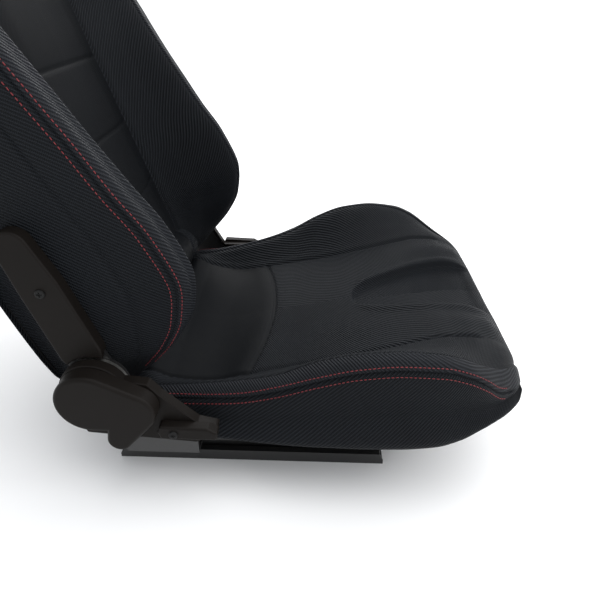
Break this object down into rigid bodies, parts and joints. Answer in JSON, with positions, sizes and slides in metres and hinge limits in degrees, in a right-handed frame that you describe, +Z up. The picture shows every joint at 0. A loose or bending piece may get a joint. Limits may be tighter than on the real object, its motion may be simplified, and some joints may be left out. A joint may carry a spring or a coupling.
{
  "type": "racing seat",
  "caption": "Reclining racing seat with bolstered cushion and back, side recliner lever and floor slides.",
  "frame": {"origin": "centre of the four floor bolts, on the underside of the lower rails", "axes": "+Z up, -Y the front of the seat, +X the occupant's left"},
  "size_m": [0.5614, 0.8173, 0.8986],
  "materials": {
    "carbon_vinyl": "satin",
    "smooth_vinyl": "satin",
    "panel_vinyl": "satin",
    "black_plastic": "matte",
    "black_steel": "satin",
    "zinc_steel": "satin"
  },
  "bodies": {
    "slider_base": {"lower_rail_left": "black_steel", "lower_rail_right": "black_steel"},
    "roller_cages": {"roller_cage_left": "black_plastic", "roller_cage_right": "black_plastic", "rail_rollers": "zinc_steel"},
    "seat_base": {"upper_rail_left": "black_steel", "upper_rail_right": "black_steel", "side_member_left": "black_steel", "side_member_right": "black_steel", "rear_cross_tube": "black_steel", "front_cross_tube": "black_steel", "cushion_springs": "zinc_steel", "cushion_centre_pad": "smooth_vinyl", "cushion_bolster_left": "carbon_vinyl", "cushion_bolster_right": "carbon_vinyl", "recliner_bracket_left": "black_steel", "recliner_bracket_right": "black_steel", "guide_disc_left": "zinc_steel", "guide_disc_right": "zinc_steel", "recliner_shell_left": "zinc_steel", "recliner_shell_right": "zinc_steel", "lower_cover_left": "black_plastic", "lower_cover_right": "black_plastic", "pivot_cap": "black_plastic", "lower_cover_screws": "zinc_steel", "foot_bolts": "zinc_steel", "release_pins": "zinc_steel"},
    "release_bar": {"release_bar": "black_steel", "latch_plates": "black_steel"},
    "backrest": {"recliner_ring_left": "zinc_steel", "recliner_ring_right": "zinc_steel", "arm_plate_left": "black_steel", "arm_plate_right": "black_steel", "arm_cover_left": "black_plastic", "arm_cover_right": "black_plastic", "arm_bolts": "zinc_steel", "arm_spacers": "zinc_steel", "arm_cover_screws": "zinc_steel", "back_hoop": "black_steel", "back_pan": "black_steel", "back_cross_tube": "black_steel", "head_posts": "black_steel", "back_bolster_left": "carbon_vinyl", "back_bolster_right": "carbon_vinyl", "back_centre_pad": "smooth_vinyl", "back_roll": "carbon_vinyl", "head_pad": "carbon_vinyl", "harness_bezel_left": "black_plastic", "harness_bezel_right": "black_plastic", "rear_panel": "panel_vinyl"},
    "upper_pawls": {"upper_pawls": "zinc_steel"},
    "lower_pawls": {"lower_pawls": "zinc_steel"},
    "recline_lever": {"recline_lever": "black_plastic", "cross_rod": "zinc_steel", "cam_plates": "zinc_steel"}
  },
  "joints": [
    {"name": "seat_slide", "type": "slide", "parent": "slider_base", "child": "seat_base", "axis": [0, -1, 0], "range_m": [-0.09, 0.09]},
    {"name": "cage_slide", "type": "slide", "parent": "slider_base", "child": "roller_cages", "axis": [0, -1, 0], "range_m": [-0.0455, 0.0455]},
    {"name": "bar_lift", "type": "hinge", "parent": "seat_base", "child": "release_bar", "pos_m": [0, -0.15, 0.044], "axis": [-1, 0, 0], "range_deg": [0, 12], "stiffness_Nm_per_rad": 3, "springref_deg": -17.19},
    {"name": "recline", "type": "hinge", "parent": "seat_base", "child": "backrest", "pos_m": [0, 0.176, 0.16], "axis": [-1, 0, 0], "range_deg": [-35, 55]},
    {"name": "lever_pull", "type": "hinge", "parent": "seat_base", "child": "recline_lever", "pos_m": [0, 0.176, 0.16], "axis": [-1, 0, 0], "range_deg": [0, 25], "stiffness_Nm_per_rad": 2, "springref_deg": -17.19},
    {"name": "upper_pawl_slide", "type": "slide", "parent": "seat_base", "child": "upper_pawls", "axis": [0, 0, -1], "range_m": [0, 0.0026]},
    {"name": "lower_pawl_slide", "type": "slide", "parent": "seat_base", "child": "lower_pawls", "axis": [0, 0, 1], "range_m": [0, 0.0026]}
  ],
  "couplings": [
    {"joint": "cage_slide", "follows": "seat_slide", "ratio": 0.5},
    {"joint": "upper_pawl_slide", "follows": "lever_pull", "m_per_rad": 0.0057296},
    {"joint": "lower_pawl_slide", "follows": "lever_pull", "m_per_rad": 0.0057296}
  ]
}
